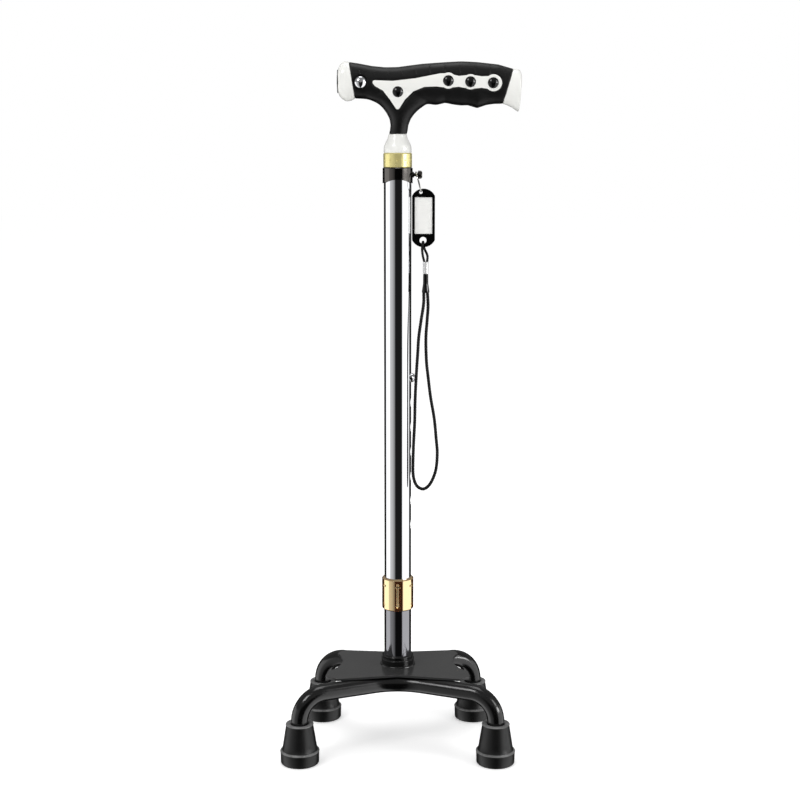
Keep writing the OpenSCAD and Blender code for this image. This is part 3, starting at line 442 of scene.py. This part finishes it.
# %% Give every node its finish
OWN_FINISH = {"lower_sleeve": "black_chrome", "strap_collar": "dark_collar", "strap_stud": "dark_collar",
              "ferrule_ring": "satin_gold", "strap_clip": "satin_aluminium"}
slot_of = {part["node"]: part["material_slot"] for part in frame["record"]["subparts"]}
for name, node in frame["nodes"].items():
    node.data.materials.clear()
    node.data.materials.append(FINISH[OWN_FINISH.get(name, slot_of[name])])
for cord in (wrist_loop, tag_loop):
    cord.data.materials.append(FINISH["black_cord"])
print(len(FINISH), "finishes on", len(frame["nodes"]), "nodes")

# %% [markdown]
# ## Pieces that take a node's place
#
# A CAD mesh is loose triangles, and the CAD node itself is left alone. A copy of its mesh is merged, and
# the shading directions that came with it are cleared. When the copy is finished it is shown instead of
# the node, moves with the same body and has the same slot.

# %% Copy a node, and put the finished copy in its place
SAME_CORNER = 0.001 * MM


def only(piece):
    """Select this piece alone, because an operator acts on everything that is selected."""
    bpy.ops.object.select_all(action="DESELECT")
    piece.select_set(True)
    bpy.context.view_layer.objects.active = piece


def merged_copy(node, ending):
    piece = bpy.data.objects.new(node + ending, frame["nodes"][node].data.copy())
    bpy.context.collection.objects.link(piece)
    only(piece)
    bpy.ops.mesh.customdata_custom_splitnormals_clear()
    bpy.ops.object.mode_set(mode="EDIT")
    bpy.ops.mesh.select_all(action="SELECT")
    bpy.ops.mesh.remove_doubles(threshold=SAME_CORNER)
    bpy.ops.object.mode_set(mode="OBJECT")
    return piece


def body_of(node):
    return next(b for b, names in frame["record"]["behaviour"]["bodies"].items() if node in names)


def take_place_of(piece, node):
    if not piece.data.materials:
        piece.data.materials.append(frame["nodes"][node].data.materials[0])
    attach(piece, body_of(node))
    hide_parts(node)


# %% [markdown]
# ## Softened edges
#
# No pressed, moulded or machined edge is a perfect corner, and the thin bright line along a rounded edge
# is much of what makes metal and plastic look real. Flat faces are joined again, so that a Bevel modifier
# finds whole edges, and it rounds what is sharp. Its Harden Normals setting keeps the large flat faces
# flat, so that they don't look swollen in a reflection.

# %% Round the edges of the plates, blocks and rings
SOFTENED = {"base_plate": 0.6, "base_socket": 0.5, "tag_frame": 0.5, "tag_label": 0.1,
            "cord_sleeve": 0.5, "strap_clip": 0.3, "lock_ring": 0.25}
FLAT_WITHIN = math.radians(1)
SHARP_FROM = math.radians(35)


def soften(node, width):
    """width is in millimetres."""
    piece = merged_copy(node, "_softened")
    bpy.ops.object.mode_set(mode="EDIT")
    bpy.ops.mesh.select_all(action="SELECT")
    bpy.ops.mesh.dissolve_limited(angle_limit=FLAT_WITHIN)
    bpy.ops.object.mode_set(mode="OBJECT")
    bpy.ops.object.shade_smooth()
    edge = piece.modifiers.new("edge", "BEVEL")
    edge.width, edge.segments = width * MM, 2
    edge.limit_method, edge.angle_limit = "ANGLE", SHARP_FROM
    edge.harden_normals = True
    bpy.ops.object.modifier_apply(modifier="edge")
    take_place_of(piece, node)
    print(piece.name, len(piece.data.polygons), "faces")
    return piece


for node, width in SOFTENED.items():
    soften(node, width)

# %% [markdown]
# The tag's window lies face to face with the label in the CAD model. A real window is a loose thin sheet,
# and two surfaces in one place would fight over which is seen. So the window is made thinner from
# behind, while its outer face stays where it is.

# %% Round the window and thin it
WINDOW_SHARE = 0.85
window = soften("tag_window", 0.1)
window_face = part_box("tag_window")[0].y
to_face = Matrix.Translation((0, window_face, 0))
window.data.transform(to_face @ Matrix.Scale(WINDOW_SHARE, 4, (0, 1, 0)) @ to_face.inverted())
window_back = max(corner.co.y for corner in window.data.vertices)
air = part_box("tag_label")[0].y - window_back
print("the window is clear of the label by", round(air / MM, 2), "mm")

# %% [markdown]
# ## The moulded handle
#
# The grip, the white core and the nose cap come out of moulds whose surfaces flow into each other. Their
# CAD meshes are lofts with flat facets, and the grip has a hard crease where its neck meets its bar. A
# voxel Remesh turns a copy into an even net of small squares, and a Smooth modifier relaxes that net.

# %% Remesh the moulded pieces and relax them


def relax(piece, passes, group=""):
    ease = piece.modifiers.new("ease", "SMOOTH")
    ease.factor, ease.iterations, ease.vertex_group = 0.5, passes, group
    bpy.ops.object.modifier_apply(modifier="ease")


def moulded(node, net, passes):
    """net is the size of the new faces in millimetres."""
    piece = merged_copy(node, "_moulded")
    voxels = piece.modifiers.new("net", "REMESH")
    voxels.mode, voxels.voxel_size = "VOXEL", net * MM
    bpy.ops.object.modifier_apply(modifier="net")
    relax(piece, passes)
    bpy.ops.object.shade_smooth()
    take_place_of(piece, node)
    print(piece.name, len(piece.data.polygons), "faces")
    return piece


soft_grip = moulded("grip_overmould", net=0.8, passes=5)

# %% [markdown]
# The crease under the bar is relaxed far more than the rest, through a vertex group, until it is a web
# like that of a moulded grip. The group is a box round the crease, and its weight fades in from the box's
# sides, so that the web has no step. The core and the nose cap need no such group.

# %% Round the web of the grip
WEB_LOW, WEB_HIGH = 628, 656
WEB_NOSE, WEB_TAIL = -40, 42
WEB_FADE = 8
WEB_PASSES = 45
web = soft_grip.vertex_groups.new(name="web")
for corner in soft_grip.data.vertices:
    x, z = corner.co.x / MM, corner.co.z / MM
    depth = min(z - WEB_LOW, WEB_HIGH - z, x - WEB_NOSE, WEB_TAIL - x)
    if depth > 0:
        web.add([corner.index], min(1, depth / WEB_FADE), "REPLACE")
only(soft_grip)
relax(soft_grip, WEB_PASSES, "web")
soft_grip.vertex_groups.clear()
moulded("handle_core", net=0.8, passes=3)
moulded("nose_cap", net=0.6, passes=3)

# %% [markdown]
# ## Turned pieces: feet, a ring of painted shade, and weld
#
# Anything round is quickest to make as on a lathe: draw half of its outline, then spin that about the
# axis. The outline starts as one point, is extruded from place to place, and is spun by a full turn. The
# seam's doubled points are merged and the faces turned outwards.

# %% Turn an outline about an upright axis
SAME_SEAM = 0.005 * MM
TURNED_SHARP = math.radians(30)


def turned(name, outline, steps=64):
    """outline is a closed run of (radius, height) in millimetres."""
    bpy.ops.object.select_all(action="DESELECT")
    bpy.ops.mesh.primitive_plane_add(size=MM)
    piece = bpy.context.object
    piece.name = piece.data.name = name
    bpy.ops.object.mode_set(mode="EDIT")
    bpy.ops.mesh.select_all(action="SELECT")
    bpy.ops.mesh.merge(type="CENTER")
    places = [Vector((radius, 0, height)) * MM for radius, height in outline]
    bpy.ops.transform.translate(value=places[0])
    for here, there in zip(places, places[1:] + places[:1]):
        bpy.ops.mesh.extrude_region_move(TRANSFORM_OT_translate={"value": there - here})
    bpy.ops.mesh.select_all(action="SELECT")
    bpy.ops.mesh.spin(steps=steps, angle=2 * math.pi, center=(0, 0, 0), axis=(0, 0, 1))
    bpy.ops.mesh.select_all(action="SELECT")
    bpy.ops.mesh.remove_doubles(threshold=SAME_SEAM)
    bpy.ops.mesh.normals_make_consistent(inside=False)
    bpy.ops.object.mode_set(mode="OBJECT")
    bpy.ops.object.shade_smooth_by_angle(angle=TURNED_SHARP)
    return piece


def arc(centre, radius, start, end, steps):
    """Points on an arc of an outline, from start to end degrees."""
    turns = [math.radians(start + (end - start) * k / steps) for k in range(steps + 1)]
    return [(centre[0] + radius * math.cos(t), centre[1] + radius * math.sin(t)) for t in turns]


# %% [markdown]
# A foot is a thick rubber cup that is pushed onto the leg. It has a wide tread band, a rounded bead where
# the band ends, a waist that tapers upwards, a rolled rim, and two grooves in its sole that bite on a wet
# floor. One foot is turned, and the others are copies of it, each with its own mesh.

# %% Turn one foot and stand four of them
LEG_RADIUS = 8.5
CUP_FLOOR = 9.2
TREAD_RADIUS = 19.2
GROOVE_WIDTH, GROOVE_DEPTH = 1.2, 0.8
outline = [(0, 0)]
for groove in (6.5, 11.5):
    outline += [(groove, 0), (groove, GROOVE_DEPTH),
                (groove + GROOVE_WIDTH, GROOVE_DEPTH), (groove + GROOVE_WIDTH, 0)]
outline += arc((TREAD_RADIUS - 2.3, 2.1), 2.1, -90, -15, 5)  # the sole's rounded edge
outline += [(TREAD_RADIUS, FOOT_BAND - 1.6)]
outline += arc((TREAD_RADIUS - 0.5, FOOT_BAND - 0.2), 0.8, -50, 120, 8)  # the bead
outline += [(17.4, FOOT_BAND + 1.6), (16.6, 19.5), (15.1, 29), (13.6, FOOT_HEIGHT - 3)]  # the waist
outline += arc((12.9, FOOT_HEIGHT - 0.9), 0.9, -50, 90, 7)  # the rolled rim
outline += arc((LEG_RADIUS + 1.6, FOOT_HEIGHT - 1.5), 1.5, 90, 180, 4)
outline += [(LEG_RADIUS + 0.05, CUP_FLOOR), (0, CUP_FLOOR)]
first = turned("foot_pattern", outline, steps=72)
first.data.materials.append(FINISH["black_rubber"])
for leg in ("front_left", "front_right", "rear_left", "rear_right"):
    low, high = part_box("foot_" + leg)
    foot = bpy.data.objects.new("rubber_" + leg, first.data.copy())
    bpy.context.collection.objects.link(foot)
    foot.data.transform(Matrix.Translation(((low.x + high.x) / 2, (low.y + high.y) / 2, 0)))
    take_place_of(foot, "foot_" + leg)
print("a foot has", len(first.data.polygons), "faces")
bpy.data.objects.remove(first)

# %% [markdown]
# A thin black ring round the lamp on the front of the nose cap is painted shade: it stands for the shadow
# line between the cap and the lens, which from the side is a dark line at the end of the handle. It is
# turned upright and then laid over to face the lamp's way.

# %% Turn the ring of painted shade
SHADE_RING_RADIUS, SHADE_RING_WIRE = 10.6, 0.5
SHADE_RING_PROUD = 0.15
lens_low, lens_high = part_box("lamp_lens")
lamp_axis = (lens_low.z + lens_high.z) / 2
# a dark ring of painted shade, drawn where the cap and the lens leave a shadow line
shade_ring = turned("lens_shade_ring", arc((SHADE_RING_RADIUS, 0), SHADE_RING_WIRE, 0, 330, 11), steps=56)
shade_ring.data.transform(Matrix.Rotation(math.pi / 2, 4, "Y"))
nose_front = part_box("nose_cap")[0].x
shade_ring.data.transform(Matrix.Translation((nose_front - SHADE_RING_PROUD * MM, 0, lamp_axis)))
shade_ring.data.materials.append(FINISH["dark_plastic"])
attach(shade_ring, body_of("lamp_lens"))
print("the gasket is", 2 * SHADE_RING_RADIUS, "mm across")

# %% [markdown]
# The socket is welded to the plate, and the weld leaves a low rounded bead round its foot. The bead wears
# the socket's black enamel.

# %% Turn the weld bead
WELD_RADIUS = 1.2
WELD_INSIDE = 0.4
socket_low, socket_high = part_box("base_socket")
socket_radius = socket_high.y / MM
weld = turned("socket_weld", [
    (socket_radius - WELD_INSIDE, 0.02), (socket_radius + WELD_RADIUS + 0.1, 0.02),
    *arc((socket_radius, 0.1), WELD_RADIUS, 10, 90, 5), (socket_radius - WELD_INSIDE, WELD_RADIUS + 0.1)])
weld.data.transform(Matrix.Translation((0, 0, socket_low.z)))
weld.data.materials.append(FINISH["black_paint"])
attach(weld, body_of("base_socket"))
print("the weld lies round a socket of", round(socket_radius, 1), "mm radius")

# %% [markdown]
# ## The split ring
#
# A split ring is flat spring wire wound into two turns that lie against each other. The Screw modifier
# winds a small section round an axis while it climbs, which is just how the ring is made. It stops a
# little short of two full turns, the two open ends are filled, and the ring is leaned to hang from its
# stud with those ends away from the front.

# %% Wind the split ring
RING_RADIUS = 9.7
RING_WIDTH = 1.3
RING_CLIMB = 0.66
WIRE_SHARE = 0.96
WIRE_CORNER = 0.14
WINDING = 3.9 * math.pi
WINDING_STEPS = 144
bpy.ops.object.select_all(action="DESELECT")
bpy.ops.mesh.primitive_plane_add(size=MM, rotation=(math.pi / 2, 0, 0))
ring = bpy.context.object
ring.name = ring.data.name = "wound_split_ring"
bpy.ops.object.transform_apply(location=True, rotation=True, scale=True)
bpy.ops.object.mode_set(mode="EDIT")
bpy.ops.mesh.select_all(action="SELECT")
bpy.ops.transform.resize(value=(RING_WIDTH, 1, RING_CLIMB * WIRE_SHARE))
bpy.ops.mesh.bevel(offset=WIRE_CORNER * MM, segments=2, affect="VERTICES")
bpy.ops.transform.translate(value=(RING_RADIUS * MM, 0, -RING_CLIMB * MM))
bpy.ops.mesh.delete(type="ONLY_FACE")
bpy.ops.object.mode_set(mode="OBJECT")
coil = ring.modifiers.new("coil", "SCREW")
coil.angle = WINDING
coil.steps = coil.render_steps = WINDING_STEPS
coil.screw_offset = 2 * RING_CLIMB * MM
coil.use_merge_vertices = False
bpy.ops.object.modifier_apply(modifier="coil")
print("split ring", len(ring.data.polygons), "faces")

# %% [markdown]
# The Screw modifier leaves a tube that is open at both ends, so its holes are filled. Then the flat coil is
# turned until its ends are out of sight, leaned as a ring hangs, and moved to the CAD ring's place.

# %% Close the ring and hang it
RING_TILT = 14
ENDS_AWAY = 115
WIRE_SHARP = math.radians(40)
bpy.ops.object.mode_set(mode="EDIT")
bpy.ops.mesh.select_all(action="SELECT")
bpy.ops.mesh.fill_holes(sides=0)
bpy.ops.mesh.normals_make_consistent(inside=False)
bpy.ops.object.mode_set(mode="OBJECT")
bpy.ops.object.shade_smooth_by_angle(angle=WIRE_SHARP)
ring_low, ring_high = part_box("split_ring")
turn_ends = Matrix.Rotation(math.radians(ENDS_AWAY), 4, "Z")
lean = Matrix.Rotation(math.radians(90 - RING_TILT), 4, "Y")
ring.data.transform(Matrix.Translation((ring_low + ring_high) / 2) @ lean @ turn_ends)
take_place_of(ring, "split_ring")
print("the ring leans by", RING_TILT, "degrees")

# %% [markdown]
# ## Ribs on the grip
#
# The soft grip has a row of low ribs along each shoulder: short upright bars over the fingers, and small
# pips towards the nose. A rib follows the curved surface, so rays are sent from the side to find where the
# grip's skin lies, and a thin curve with a round section is laid along the points they hit. It sinks a
# little into the skin, and its two ends are thinner, so that it fades into the rubber.

# %% Lay one rib on the grip's skin
GRIP_MIDDLE = 663
RAY_REACH = 60
RIB_SUNK = 0.3
RIB_POINTS = 9
RIB_ENDS = (0.35, 0.8, 1)
RIB_SHARP = math.radians(40)


def skin_point(x, degrees, side):
    """Where the grip's skin lies at x, seen that many degrees above level from its middle."""
    middle = Vector((x, 0, GRIP_MIDDLE)) * MM
    turn = math.radians(degrees)
    away = Vector((0, side * math.cos(turn), math.sin(turn)))
    hit, point, _, _ = soft_grip.ray_cast(middle + away * RAY_REACH * MM, -away)
    return point - away * RIB_SUNK * MM if hit else None


def rib(name, x, start, end, side, width):
    points = [skin_point(x, start + (end - start) * k / (RIB_POINTS - 1), side) for k in range(RIB_POINTS)]
    points = [p for p in points if p]
    curve = bpy.data.curves.new(name, "CURVE")
    curve.dimensions = "3D"
    curve.bevel_depth, curve.bevel_resolution, curve.use_fill_caps = width / 2 * MM, 3, True
    line = curve.splines.new("POLY")
    line.points.add(len(points) - 1)
    for k, (dot, point) in enumerate(zip(line.points, points)):
        dot.co = (*point, 1)
        dot.radius = RIB_ENDS[min(k, len(points) - 1 - k, 2)]
    made = bpy.data.objects.new(name, curve)
    bpy.context.collection.objects.link(made)
    only(made)
    bpy.ops.object.convert(target="MESH")
    made = bpy.context.object
    bpy.ops.object.shade_smooth_by_angle(angle=RIB_SHARP)
    made.data.materials.append(FINISH["grip_rubber"])
    return made


# %% [markdown]
# Both faces of the grip have the same ribs: six bars, which reach further over the shoulder, and five
# pips. A pip starts as low as a bar and ends sooner.

# %% Lay the bars and the pips
BAR_PLACES = [31 + 14.4 * k for k in range(6)]
PIP_PLACES = [-36.4 + 13.5 * k for k in range(5)]
RIB_START, BAR_END, PIP_END = 32, 68, 46
BAR_WIDTH, PIP_WIDTH = 1.3, 1.6
ribs = []
for side, face in ((-1, "front"), (1, "back")):
    for k, x in enumerate(BAR_PLACES):
        ribs.append(rib(f"grip_bar_{face}_{k + 1}", x, RIB_START, BAR_END, side, BAR_WIDTH))
    for k, x in enumerate(PIP_PLACES):
        ribs.append(rib(f"grip_pip_{face}_{k + 1}", x, RIB_START, PIP_END, side, PIP_WIDTH))
for piece in ribs:
    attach(piece, body_of("grip_overmould"))
print(len(ribs), "ribs on the grip")

# %% [markdown]
# ## The floor
#
# The floor is matt white. It has to stay white to the eye far from the lamps as well, so it glows a
# little for rays that look at it, never for the rays that light the cane, and the cane's shadow stays.

# %% Lay the floor
FLOOR_SIZE = 24
FLOOR_GLOW = 0.37


def seen_directly(owner):
    """A node that is 1 for rays that look at a surface: straight, by reflection or through glass."""
    rays = add(owner, "LightPath")
    mirrored = add(owner, "Math", {0: (rays, "Is Camera Ray"), 1: (rays, "Is Glossy Ray")},
                   operation="MAXIMUM")
    return add(owner, "Math", {0: (mirrored, "Value"), 1: (rays, "Is Transmission Ray")},
               operation="MAXIMUM")


bpy.ops.object.select_all(action="DESELECT")
bpy.ops.mesh.primitive_plane_add(size=FLOOR_SIZE)
floor = bpy.context.object
floor.name = "floor"
matt = blank("matt_white_floor")
paint = add(matt, "BsdfDiffuse", values={"Color": (0.9, 0.9, 0.9, 1)})
amount = add(matt, "Math", {0: (seen_directly(matt), "Value")}, {1: FLOOR_GLOW}, operation="MULTIPLY")
glow = add(matt, "Emission", {"Strength": (amount, "Value")})
painted = add(matt, "AddShader", {0: (paint, 0), 1: (glow, 0)})
add(matt, "OutputMaterial", {"Surface": (painted, 0)})
floor.data.materials.append(matt)
floor.visible_glossy = False
print("the floor is", FLOOR_SIZE, "m wide")

# %% [markdown]
# ## The light tent
#
# Chrome is best seen in a tent of white and black cloths, and each cloth becomes a stripe along the tube.
# A tube mirrors what stands at twice the angle of its surface, so the stripes are planned as bearings
# round the cane: two white cloths at the sides, a grey one that fades, black between and behind. Only
# mirror rays see this tent. Its sizes are in metres, because it is far larger than the cane.

# %% Raise the tent and find the bearing of each place on it
TENT_RADIUS, TENT_LOW, TENT_HIGH = 4, -4, 3.2
TENT_SIDES = 96
bpy.ops.object.select_all(action="DESELECT")
bpy.ops.mesh.primitive_cylinder_add(vertices=TENT_SIDES, radius=TENT_RADIUS, depth=TENT_HIGH - TENT_LOW,
                                    location=(0, 0, (TENT_HIGH + TENT_LOW) / 2))
tent = bpy.context.object
tent.name = "tent"
bpy.ops.object.transform_apply(location=True)
for kind in ("camera", "diffuse", "transmission", "volume_scatter", "shadow"):
    setattr(tent, "visible_" + kind, False)
cloth = blank("tent_cloths")
tent.data.materials.append(cloth)
place = add(cloth, "TexCoord")
part = add(cloth, "SeparateXYZ", {"Vector": (place, "Object")})
forward = add(cloth, "Math", {0: (part, "Y")}, {1: -1}, operation="MULTIPLY")
bearing = add(cloth, "Math", {0: (part, "X"), 1: (forward, "Value")}, operation="ARCTAN2")
turn = add(cloth, "MapRange", {"Value": (bearing, "Value")}, {"From Min": -math.pi, "From Max": math.pi})
print("a tent of", 2 * TENT_RADIUS, "m stands round the cane")

# %% [markdown]
# A ramp over the bearing holds the cloths, each as a share of the brightest one, and the whole tent then
# glows at that one's strength. Above the cane the cloths end in an even dim grey, which keeps black
# rubber black.

# %% Hang the cloths
WHITE, DIM, BLACK = 1.35, 0.26, 0.012
CLOTHS_END, DIM_BEGINS = 0.85, 1.15
CLOTHS = [  # bearing in degrees, from the camera's side round to the handle's tail, and brightness
    (-180, BLACK), (-120, BLACK), (-114, WHITE), (-72, WHITE), (-66, 0.7), (-42, 0.5), (-24, 0.2),
    (-20, BLACK), (36, BLACK), (42, WHITE), (112, WHITE), (118, BLACK), (180, BLACK),
]


def share(brightness):
    """That brightness as a grey, where the brightest cloth is 1."""
    return [brightness / WHITE] * 3 + [1]


def stop(degrees, brightness):
    """A stop of a ramp that runs once round the tent."""
    return ((degrees + 180) / 360, share(brightness))


stripes = add(cloth, "ValToRGB", {"Fac": (turn, "Result")}, stops=[stop(*each) for each in CLOTHS])
rise = add(cloth, "MapRange", {"Value": (part, "Z")}, {"From Min": CLOTHS_END, "From Max": DIM_BEGINS})
upper = add(cloth, "Mix", {0: (rise, "Result"), 6: (stripes, "Color")}, {7: share(DIM)},
            data_type="RGBA")
print(len(CLOTHS), "stops round the tent")

# %% [markdown]
# One narrow bright card stands high at the right, and it is what puts a glint on each black stud. It is a
# patch of the same tent: white between two bearings and between two heights, with soft edges.

# %% Stand the bright card and light the tent
CARD = 11
CARD_FROM, CARD_TO, CARD_FADE = 52, 74, 4
CARD_LOW, CARD_HIGH, CARD_EDGE = 0.6, 1.5, 0.1
across = add(cloth, "ValToRGB", {"Fac": (turn, "Result")}, stops=[
    stop(CARD_FROM - CARD_FADE, 0), stop(CARD_FROM, WHITE), stop(CARD_TO, WHITE),
    stop(CARD_TO + CARD_FADE, 0)])
upward = add(cloth, "MapRange", {"Value": (part, "Z")},
             {"From Min": CARD_LOW, "From Max": CARD_LOW + CARD_EDGE})
topped = add(cloth, "MapRange", {"Value": (part, "Z")},
             {"From Min": CARD_HIGH, "From Max": CARD_HIGH - CARD_EDGE})
between = add(cloth, "Math", {0: (upward, "Result"), 1: (topped, "Result")}, operation="MULTIPLY")
on_card = add(cloth, "Math", {0: (between, "Value"), 1: (across, "Color")}, operation="MULTIPLY")
hung = add(cloth, "Mix", {0: (on_card, "Value"), 6: (upper, 2)}, {7: share(CARD)}, data_type="RGBA")
lit = add(cloth, "Emission", {"Color": (hung, 2)}, {"Strength": WHITE})
add(cloth, "OutputMaterial", {"Surface": (lit, 0)})
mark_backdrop(tent, floor)
print("the card is", round(CARD / WHITE, 1), "times as bright as a white cloth")

# %% [markdown]
# ## Soft light
#
# A pale sky lights every side evenly, so that a colour renders about as it was written. Rays that look at
# the sky see it fully white. Three soft boxes give the light a direction: a key from the upper left, a
# weaker fill from the right, and one from above.

# %% Light the sky and hang three soft boxes
SKY = 0.7
CANE_MIDDLE = Vector((0, 0, 0.35))
sky = blank("sky", bpy.data.worlds)
bpy.context.scene.world = sky
level = add(sky, "MapRange", {"Value": (seen_directly(sky), "Value")}, {"To Min": SKY})
dome = add(sky, "Background", {"Strength": (level, "Result")}, {"Color": (1, 1, 1, 1)})
add(sky, "OutputWorld", {"Surface": (dome, 0)})


def soft_box(name, at, size, watts):
    """A square lamp, that size in metres, which faces the middle of the cane."""
    bpy.ops.object.light_add(type="AREA", location=at)
    lamp = bpy.context.object
    lamp.name = name
    lamp.data.size, lamp.data.energy = size, watts
    lamp.rotation_euler = (CANE_MIDDLE - Vector(at)).to_track_quat("-Z", "Y").to_euler()


soft_box("key", (-1.3, -1.5, 2.1), size=0.9, watts=17)
soft_box("fill", (1.9, -1.1, 1.5), size=0.8, watts=8)
soft_box("top", (0, 0.3, 2.6), size=1.2, watts=12)
print("sky at", SKY, "and three soft boxes")

# %% [markdown]
# ## Sizes, and the last line
#
# The box round everything that was made, without the floor and the tent, is worked out. What was
# made has to keep inside the measured model.

# %% Find the box round what was made
low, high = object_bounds()
